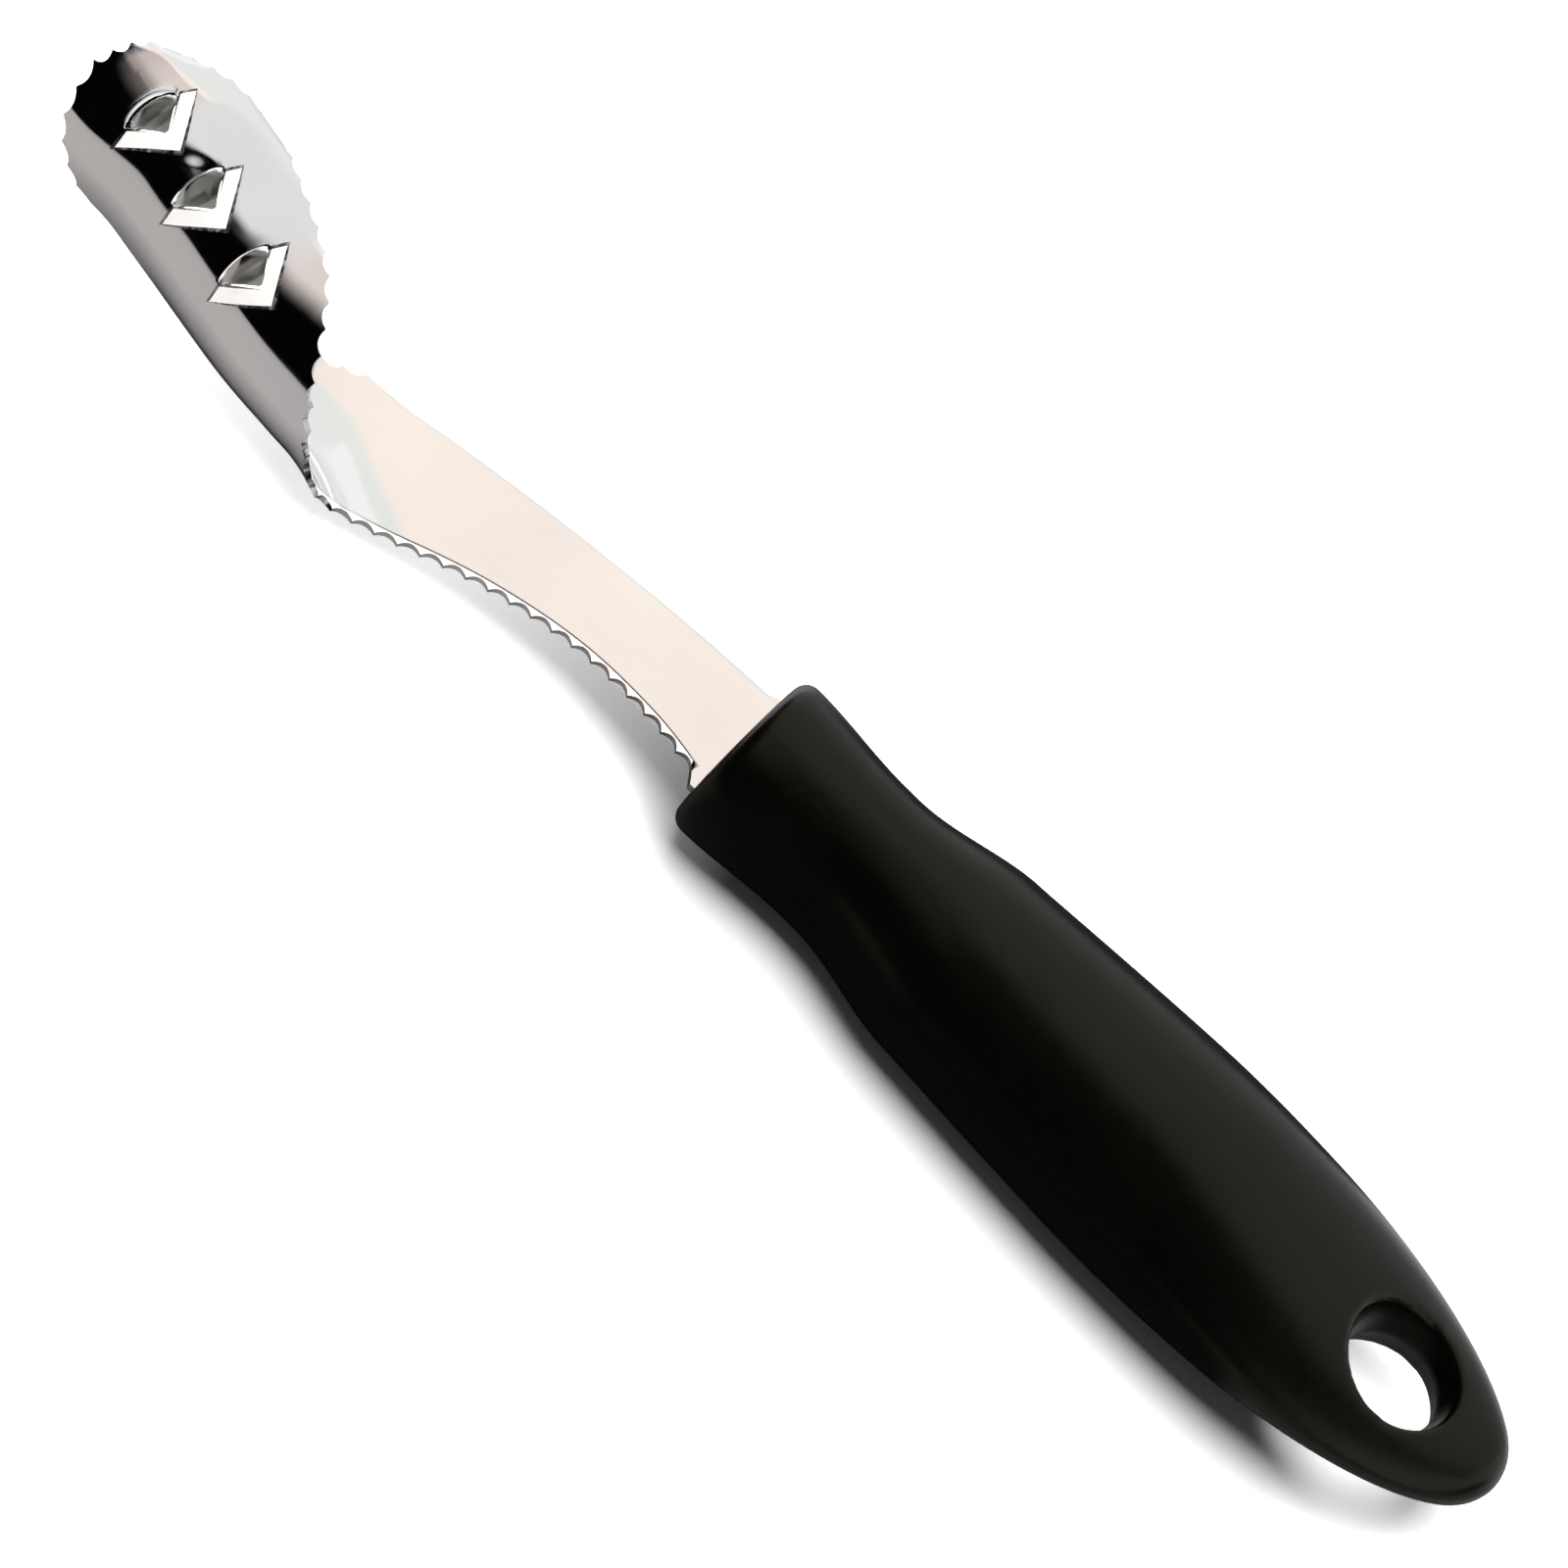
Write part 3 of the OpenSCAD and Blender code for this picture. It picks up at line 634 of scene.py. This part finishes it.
def soft_handle():
    """The handle: a ball drawn out to the handle's sections, holed, evened out and its lips softened."""
    rings, around = 200, 160
    face, corner, nose = 14, 14, 40
    grip = fresh(bpy.ops.mesh.primitive_uv_sphere_add, "grip_piece",
                 segments=around, ring_count=rings, radius=1)
    points = coords(grip.data)
    ring_at = np.rint(np.arccos(np.clip(points[:, 2], -1, 1)) / math.pi * rings).astype(int)
    body = rings - face - corner - nose
    u_of = np.concatenate([
        np.zeros(face),
        COLLAR_ROUND * (1 - np.cos(np.linspace(0, math.pi / 2, corner, endpoint=False))),
        np.linspace(COLLAR_ROUND, HANDLE_LEN - NOSE_LEN, body, endpoint=False),
        HANDLE_LEN - NOSE_LEN + NOSE_LEN * np.sin(np.linspace(0, math.pi / 2, nose + 1))])
    fill = np.concatenate([np.linspace(0, 1, face, endpoint=False), np.ones(rings + 1 - face)])
    u = u_of[ring_at]
    turn = np.arctan2(points[:, 1], points[:, 0])
    c, d = np.cos(turn), np.sin(turn)
    wide = np.maximum(half_width(u) * SKIN_SHARE - rounding(u), 0) * fill[ring_at]
    high = np.maximum(half_height(u) * SKIN_SHARE - rounding(u), 0) * fill[ring_at]
    power = 2 / OVAL_POWER
    y = wide * np.sign(c) * np.abs(c) ** power
    z = high * np.sign(d) * np.abs(d) ** power
    set_coords(grip.data, np.stack([X_FRONT + u, y, z], axis=1))
    edit(grip)
    bpy.ops.mesh.select_all(action="SELECT")
    bpy.ops.mesh.remove_doubles(threshold=1e-4)
    bpy.ops.mesh.normals_make_consistent(inside=False)
    done()
    for way in (1, -1):
        wide_r = HOLE_R + HOLE_DEPTH * math.tan(HOLE_DRAFT)
        hole = fresh(bpy.ops.mesh.primitive_cone_add, "hole", vertices=128, radius1=HOLE_R, radius2=wide_r,
                     depth=HOLE_DEPTH, location=(0, 0, way * HOLE_DEPTH / 2),
                     rotation=(0 if way > 0 else math.pi, 0, 0))
        cut(grip, hole)
    alone(grip)
    skin = grip.modifiers.new("skin", "REMESH")
    skin.mode = "VOXEL"
    skin.voxel_size = SKIN_VOXEL
    bpy.ops.object.modifier_apply(modifier=skin.name)
    soften(grip, lambda p: np.ones(len(p), dtype=bool), 3)
    soften(grip, near_lip, 5)
    mark_parting(grip)
    slots = (((TANG_LEN + SLOT_END, 2 * TANG_HW + SLOT_SIDE, SHEET_T + SLOT_FACE), TANG_LEN / 2),
             ((2 * HEEL_LEN, 2 * HEEL_HW + SLOT_SIDE, SHEET_T + SLOT_FACE), 0),
             ((CORE_LEN, 2 * CORE_HW, 2 * CORE_HT), CORE_X + CORE_LEN / 2))
    for size, u_at in slots:
        slot = fresh(bpy.ops.mesh.primitive_cube_add, "slot",
                     size=1, location=(X_FRONT + u_at, 0, 0), scale=size)
        cut(grip, slot)
    set_coords(grip.data, coords(grip.data) * MM)
    alone(grip)
    bpy.ops.object.shade_smooth_by_angle(angle=math.radians(50))
    return grip


def near_lip(p):
    """Which points lie on the hole's two lips."""
    r = np.hypot(p[:, 0], p[:, 1])
    return (r < LIP_REACH) & (np.abs(p[:, 2]) > LIP_FROM)


def soften(obj, chosen, times):
    """Smooths the chosen vertices."""
    edit(obj)
    pick(obj, vertices=np.nonzero(chosen(coords(obj.data)))[0].tolist())
    bpy.ops.mesh.vertices_smooth(factor=0.5, repeat=times)
    done()


def mark_parting(obj, depth=0.03):
    """Cuts the mould's parting line round the handle and sets it in by a hair."""
    edit(obj)
    bpy.ops.mesh.select_all(action="SELECT")
    bpy.ops.mesh.bisect(plane_co=(0, 0, 0), plane_no=(0, 0, 1), threshold=0.01)
    bpy.ops.mesh.select_all(action="DESELECT")
    done()
    on_line = np.nonzero(np.abs(coords(obj.data)[:, 2]) < 0.012)[0].tolist()
    edit(obj)
    pick(obj, vertices=on_line)
    bpy.ops.transform.shrink_fatten(value=-depth)
    done()


# Finishes

def finish_nodes(name, **sockets):
    """A new finish with plain values set on its own sockets."""
    mat = bpy.data.materials.new(name)
    mat.use_nodes = True
    shader = mat.node_tree.nodes["Principled BSDF"]
    for key, value in sockets.items():
        shader.inputs[key.replace("_", " ")].default_value = value
    return mat, mat.node_tree, shader


def noise(tree, scale, stretch=(1, 1, 1), detail=3.0, roughness=0.5):
    """Noise on the piece's own coordinates."""
    nodes, links = tree.nodes, tree.links
    at = nodes.new("ShaderNodeTexCoord")
    turn = nodes.new("ShaderNodeMapping")
    turn.inputs["Scale"].default_value = stretch
    grain = nodes.new("ShaderNodeTexNoise")
    grain.inputs["Scale"].default_value = scale
    grain.inputs["Detail"].default_value = detail
    grain.inputs["Roughness"].default_value = roughness
    links.new(at.outputs["Object"], turn.inputs["Vector"])
    links.new(turn.outputs["Vector"], grain.inputs["Vector"])
    return grain.outputs["Fac"]


def spread(tree, fac, low, high, start=0.3, end=0.7):
    """Turns a pattern into values from low to high."""
    node = tree.nodes.new("ShaderNodeMapRange")
    node.inputs["From Min"].default_value = start
    node.inputs["From Max"].default_value = end
    node.inputs["To Min"].default_value = low
    node.inputs["To Max"].default_value = high
    tree.links.new(fac, node.inputs["Value"])
    return node.outputs["Result"]


def shades(tree, fac, dark, light, start=0.3, end=0.7):
    """Turns a pattern into colours from dark to light."""
    node = tree.nodes.new("ShaderNodeValToRGB")
    node.color_ramp.elements[0].position = start
    node.color_ramp.elements[1].position = end
    node.color_ramp.elements[0].color = (*dark, 1)
    node.color_ramp.elements[1].color = (*light, 1)
    tree.links.new(fac, node.inputs["Fac"])
    return node.outputs["Color"]


def joined(tree, kind, first, second):
    """One value worked out from two."""
    node = tree.nodes.new("ShaderNodeMath")
    node.operation = kind
    tree.links.new(first, node.inputs[0])
    tree.links.new(second, node.inputs[1])
    return node.outputs[0]


def scaled_sum(tree, value, factor, more):
    """A value times a factor, with another value added."""
    node = tree.nodes.new("ShaderNodeMath")
    node.operation = "MULTIPLY_ADD"
    node.inputs[1].default_value = factor
    tree.links.new(value, node.inputs[0])
    tree.links.new(more, node.inputs[2])
    return node.outputs[0]


def blend(tree, fac, first, second):
    """Goes from one colour to another, each plain or patterned."""
    node = tree.nodes.new("ShaderNodeMix")
    node.data_type = "RGBA"
    tree.links.new(fac, node.inputs["Factor"])
    for socket, value in ((node.inputs[6], first), (node.inputs[7], second)):
        if isinstance(value, tuple):
            socket.default_value = (*value, 1)
        else:
            tree.links.new(value, socket)
    return node.outputs[2]


def place_on(tree):
    """X and Y of the piece's own coordinates."""
    at = tree.nodes.new("ShaderNodeSeparateXYZ")
    tree.links.new(tree.nodes.new("ShaderNodeTexCoord").outputs["Object"], at.inputs[0])
    return at.outputs["X"], at.outputs["Y"]


def bump(tree, shader, fac, strength, distance):
    """Relief from a pattern."""
    node = tree.nodes.new("ShaderNodeBump")
    node.inputs["Strength"].default_value = strength
    node.inputs["Distance"].default_value = distance
    tree.links.new(fac, node.inputs["Height"])
    tree.links.new(node.outputs["Normal"], shader.inputs["Normal"])


def polished_steel():
    """Mirror finish, rougher where the sheet is drawn down behind the teeth and darker there as painted
    shade.
    """
    mat, tree, shader = finish_nodes("polished_steel", Metallic=1.0)
    drawn = tree.nodes.new("ShaderNodeAttribute")
    drawn.attribute_name = "drawn"
    drawn = drawn.outputs["Fac"]
    bright = shades(tree, noise(tree, 55, detail=4), (0.80, 0.80, 0.805), (0.86, 0.857, 0.85))
    # Darker tone in the pressed-in hollows behind the teeth: painted shade.
    drawn_tone_painted_shade = shades(tree, noise(tree, 300, detail=4), (0.4, 0.39, 0.35), (0.48, 0.465, 0.42))
    tree.links.new(blend(tree, drawn, bright, drawn_tone_painted_shade), shader.inputs["Base Color"])
    brush = noise(tree, 70, stretch=(1, 22, 22), detail=5)
    rough = scaled_sum(tree, drawn, 0.3, spread(tree, brush, 0.05, 0.1))
    tree.links.new(rough, shader.inputs["Roughness"])
    bump(tree, shader, brush, 0.03, 0.00004)
    return mat


def ground_steel():
    """Pale ground steel of the teeth's bands and the edge bevel."""
    mat, tree, shader = finish_nodes("ground_steel", Metallic=0.25)
    tone = noise(tree, 320, detail=4)
    tree.links.new(shades(tree, tone, (0.8, 0.785, 0.76), (0.88, 0.865, 0.84)), shader.inputs["Base Color"])
    lines = noise(tree, 160, stretch=(1.5, 26, 26), detail=4)
    tree.links.new(spread(tree, lines, 0.5, 0.62), shader.inputs["Roughness"])
    bump(tree, shader, lines, 0.12, 0.00003)
    return mat


def cut_steel():
    """Steel of the cut edges, darker than the polished faces; the darker tone is partly painted shade."""
    mat, tree, shader = finish_nodes("cut_steel", Metallic=1.0)
    tone = noise(tree, 500, detail=4)
    # Grey tone of the cut edges: partly the sheared steel's own, partly painted shade.
    tree.links.new(shades(tree, tone, (0.4, 0.4, 0.4), (0.55, 0.55, 0.545)), shader.inputs["Base Color"])
    lines = noise(tree, 900, stretch=(4, 1, 0.25), detail=3)
    tree.links.new(spread(tree, lines, 0.14, 0.26), shader.inputs["Roughness"])
    bump(tree, shader, lines, 0.15, 0.00003)
    return mat


def streaked_steel_painted_shade():
    """Streaked steel of the teeth's sheared walls: real shear streaks, with a near-black tone that is painted
    shade.
    """
    mat, tree, shader = finish_nodes("streaked_steel_painted_shade", Metallic=1.0)
    streaks = noise(tree, 2600, stretch=(1, 0.12, 0.12), detail=3)
    # Near-black end of the streaks: painted shade along the tooth walls.
    colour = shades(tree, streaks, (0.03, 0.03, 0.03), (0.6, 0.59, 0.57), 0.36, 0.66)
    tree.links.new(colour, shader.inputs["Base Color"])
    tree.links.new(spread(tree, streaks, 0.4, 0.28), shader.inputs["Roughness"])
    bump(tree, shader, streaks, 0.2, 0.00004)
    return mat


def soft_black():
    """Matte soft cover of the handle."""
    mat, tree, shader = finish_nodes("soft_black", Metallic=0.0)
    shader.inputs["Specular IOR Level"].default_value = 0.2
    shader.inputs["Specular Tint"].default_value = (1.0, 1.0, 0.82, 1)
    tone = noise(tree, 120, detail=5)
    colour = shades(tree, tone, (0.0007, 0.0008, 0.0005), (0.0012, 0.0013, 0.0008))
    tree.links.new(colour, shader.inputs["Base Color"])
    patch = noise(tree, 420, detail=4)
    tree.links.new(spread(tree, patch, 0.26, 0.32), shader.inputs["Roughness"])
    grain = noise(tree, 3600, detail=4, roughness=0.6)
    bump(tree, shader, grain, 0.1, 0.00004)
    return mat


def hard_plastic():
    """Plain moulded core."""
    mat, tree, shader = finish_nodes("hard_plastic", Metallic=0.0)
    tone = noise(tree, 150, detail=4)
    tree.links.new(shades(tree, tone, (0.05, 0.05, 0.05), (0.075, 0.075, 0.075)), shader.inputs["Base Color"])
    tree.links.new(spread(tree, tone, 0.5, 0.65), shader.inputs["Roughness"])
    bump(tree, shader, noise(tree, 1500, detail=3), 0.15, 0.00005)
    return mat


# Stage, in metres: glow or shade of the floors as (low, high, from, to) along X or Y
FLOOR_SIZE, FLOOR_UNDER, MIRROR_UNDER = 8, 0.00004, 0.00002
LEAF_GLOW, TIP_GLOW = (0.75, 0.0, -0.132, -0.086), (0.3, 0.0, -0.172, -0.15)
HOLE_GLOW_X, HOLE_GLOW_Y = (0.0, 0.5, -0.03, -0.015), (0.0, 0.5, -0.006, 0.002)
BUTT_GLOW = (0.0, 0.4, -0.002, 0.012)
HANDLE_BLACK_FROM, HANDLE_BLACK_TO = (0, 1, -0.125, -0.085), (1, 0, -0.013, -0.008)
CARD_AT, CARD_SIZE = (0.0, -0.085, 0.15), (0.17, 0.24, 1)
PANEL_AT, PANEL_AIM, PANEL_SIZE, PANEL_WATTS = (-0.09, 0.1, 1.0), (-0.09, 0, 0), (1.1, 1.1), 26.0
# Colours of the room as the steel mirrors it
CREAM, COOL, WHITE, LAVENDER = (1.13, 1.01, 0.92), (0.94, 0.965, 0.93), (1.08, 1.09, 1.07), (0.9, 0.89, 0.94)
TIP_LIGHT, TIP_BROWN, TIP_SLATE = (0.84, 0.75, 0.71), (0.66, 0.58, 0.56), (0.2, 0.205, 0.23)
TIP_DARK, GREY, STRIP, OLIVE = (0.012, 0.013, 0.014), (0.86, 0.865, 0.87), (1.2, 1.2, 1.2), (0.13, 0.12, 0.1)
BLACK, DIM, CLEAR = (0.0008, 0.0008, 0.001), (0.1, 0.1, 0.104), (1.0, 1.0, 1.0)
TIP_LEAN, ROLL_LEAN = 0.8, -1.36


def ground(name, height, mat, hidden_from):
    """A wide flat ground that some kinds of light do not meet."""
    plane = fresh(bpy.ops.mesh.primitive_plane_add, name, size=FLOOR_SIZE, location=(0, 0, height))
    plane.data.materials.append(mat)
    for kind in hidden_from:
        setattr(plane, "visible_" + kind, False)


def pale_floor():
    """The white floor, aglow at the gouge, behind the hole and at the butt so that shadows fade there."""
    mat, tree, shader = finish_nodes("pale_floor", Roughness=0.9)
    shader.inputs["Specular IOR Level"].default_value = 0.0
    tone = noise(tree, 4, detail=2)
    tree.links.new(shades(tree, tone, (0.9, 0.9, 0.9), (0.91, 0.91, 0.91)), shader.inputs["Base Color"])
    x, y = place_on(tree)
    leaf, tip = (spread(tree, x, *glow) for glow in (LEAF_GLOW, TIP_GLOW))
    behind = joined(tree, "MINIMUM", spread(tree, x, *HOLE_GLOW_X), spread(tree, y, *HOLE_GLOW_Y))
    butt = joined(tree, "MAXIMUM", spread(tree, x, *BUTT_GLOW), behind)
    glow = joined(tree, "MAXIMUM", joined(tree, "ADD", leaf, tip), butt)
    shader.inputs["Emission Color"].default_value = (1, 1, 1, 1)
    tree.links.new(glow, shader.inputs["Emission Strength"])
    return mat


def grey_floor():
    """The floor as the steel and the handle mirror it: mid grey by the gouge, black along the handle."""
    mat, tree, shader = finish_nodes("grey_floor", Roughness=0.9)
    shader.inputs["Specular IOR Level"].default_value = 0.0
    x, y = place_on(tree)
    along = joined(tree, "MINIMUM", spread(tree, x, *HANDLE_BLACK_FROM), spread(tree, x, *HANDLE_BLACK_TO))
    grey = shades(tree, y, (0.26, 0.25, 0.247), (0.8, 0.79, 0.84), 0.0, 0.05)
    black = shades(tree, noise(tree, 4, detail=2), (0.03, 0.03, 0.03), (0.035, 0.035, 0.035))
    tree.links.new(blend(tree, along, grey, black), shader.inputs["Base Color"])
    return mat


def shade_card():
    """A black card over the near side of the handle, met only by what the handle mirrors."""
    card = fresh(bpy.ops.mesh.primitive_plane_add, "shade_card", size=1, location=CARD_AT)
    card.scale = CARD_SIZE
    bpy.ops.object.transform_apply(location=True, rotation=True, scale=True)
    mat, tree, shader = finish_nodes("black_card", Roughness=1.0)
    shader.inputs["Specular IOR Level"].default_value = 0.0
    tone = noise(tree, 6, detail=2)
    black = shades(tree, tone, (0.001, 0.001, 0.001), (0.0015, 0.0015, 0.0015))
    tree.links.new(black, shader.inputs["Base Color"])
    card.data.materials.append(mat)
    for kind in ("camera", "diffuse", "shadow"):
        setattr(card, "visible_" + kind, False)


def soft_panel(name, at, aim, size, watts, colour):
    """A wide soft light that faces a point, and is not itself mirrored."""
    lamp = bpy.data.lights.new(name, "AREA")
    lamp.shape = "RECTANGLE"
    lamp.size, lamp.size_y = size
    lamp.energy = watts
    lamp.color = colour
    obj = bpy.data.objects.new(name, lamp)
    bpy.context.collection.objects.link(obj)
    obj.location = at
    obj.rotation_euler = (Vector(aim) - Vector(at)).to_track_quat("-Z", "Y").to_euler()
    obj.visible_glossy = False


def studio_room():
    """The room that the steel mirrors: pale above and behind, black on the near side, each by direction."""
    world = bpy.data.worlds.new("studio_room")
    bpy.context.scene.world = world
    world.use_nodes = True
    tree = world.node_tree
    nodes, links = tree.nodes, tree.links
    parts = nodes.new("ShaderNodeSeparateXYZ")
    links.new(nodes.new("ShaderNodeTexCoord").outputs["Generated"], parts.inputs[0])
    x, y, z = (parts.outputs[axis] for axis in "XYZ")

    def step(value, start, end):
        node = nodes.new("ShaderNodeMapRange")
        node.interpolation_type = "SMOOTHSTEP"
        node.inputs["From Min"].default_value = start
        node.inputs["From Max"].default_value = end
        links.new(value, node.inputs["Value"])
        return node.outputs["Result"]

    def product(first, second):
        return joined(tree, "MULTIPLY", first, second)

    near_side = product(step(y, 0.05, -0.2), step(z, 0.94, 0.82))
    tip_shade = step(scaled_sum(tree, x, TIP_LEAN, y), 0.05, -0.6)
    front = product(blend(tree, step(x, 0.11, 0.17), tip_shade, near_side), step(x, 0.45, 0.33))
    dark = joined(tree, "MAXIMUM", front, step(x, -0.52, -0.62))
    wall = blend(tree, step(y, 0.648, 0.685), CREAM, COOL)
    rolled_up = product(step(scaled_sum(tree, x, ROLL_LEAN, y), 1.1, 1.12), step(y, 0.73, 0.78))
    wall = blend(tree, rolled_up, wall, WHITE)
    wall = blend(tree, step(z, 0.14, 0.1), wall, LAVENDER)
    tip = blend(tree, step(x, 0.0, -0.3), TIP_LIGHT, TIP_BROWN)
    tip = blend(tree, step(x, -0.33, -0.5), tip, TIP_SLATE)
    tip = blend(tree, step(x, -0.48, -0.58), tip, TIP_DARK)
    wall = blend(tree, step(y, 0.56, 0.46), wall, tip)
    wall = blend(tree, step(x, 0.08, 0.15), wall, GREY)
    wall = blend(tree, product(step(x, 0.4, 0.55), step(x, 0.9, 0.8)), wall, STRIP)
    wall = blend(tree, step(x, 0.86, 0.93), wall, OLIVE)
    room = blend(tree, dark, wall, BLACK)
    ray = nodes.new("ShaderNodeLightPath")
    seen = blend(tree, ray.outputs["Is Glossy Ray"], DIM, room)
    seen = blend(tree, ray.outputs["Is Camera Ray"], seen, CLEAR)
    links.new(seen, nodes["Background"].inputs["Color"])
    nodes["Background"].inputs["Strength"].default_value = 1.0


def camera():
    """The photograph's view: about 50 degrees down on the near side, turned so that the blade rises."""
    forward = Vector((-0.02714, 0.64279, -0.76556))
    right = Vector((0.99937, 0.0, -0.03542))
    up = Vector((0.02277, 0.76604, 0.64238))
    turn = math.radians(45.654)
    across = right * math.cos(turn) + up * math.sin(turn)
    upright = up * math.cos(turn) - right * math.sin(turn)
    aim, distance = Vector((-88.98, 0.65, 0.33)) * MM, 0.9
    at = aim - forward * distance
    data = bpy.data.cameras.new("camera")
    data.lens = 197.0
    data.sensor_width = 36.0
    data.clip_start = 0.01
    cam = bpy.data.objects.new("camera", data)
    bpy.context.collection.objects.link(cam)
    back = -forward
    cam.matrix_world = Matrix(((across.x, upright.x, back.x, at.x), (across.y, upright.y, back.y, at.y),
                               (across.z, upright.z, back.z, at.z), (0, 0, 0, 1)))
    bpy.context.scene.camera = cam


blade = rolled_blade()
steel, cut_finish = polished_steel(), cut_steel()
ground_finish = ground_steel()
# Finishes by slot; the tooth walls carry painted shade, and the cut edges partly painted shade.
for i, mat in enumerate((steel, steel, ground_finish, streaked_steel_painted_shade(), cut_finish, ground_finish)):
    blade.data.materials[i] = mat
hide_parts("blade")
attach(blade, "root")

grip = soft_handle()
grip.data.materials.append(soft_black())
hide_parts("grip")
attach(grip, "root")

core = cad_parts["core"]
core.data.materials.clear()
core.data.materials.append(hard_plastic())

ground("floor", cad_box[0][2] - FLOOR_UNDER, pale_floor(), ("glossy",))
ground("mirrored_floor", cad_box[0][2] - MIRROR_UNDER, grey_floor(), ("camera", "diffuse", "shadow"))
shade_card()
soft_panel("over_panel", PANEL_AT, PANEL_AIM, PANEL_SIZE, PANEL_WATTS, (1, 0.995, 0.99))
studio_room()
camera()
bpy.context.scene.view_settings.view_transform = "Standard"
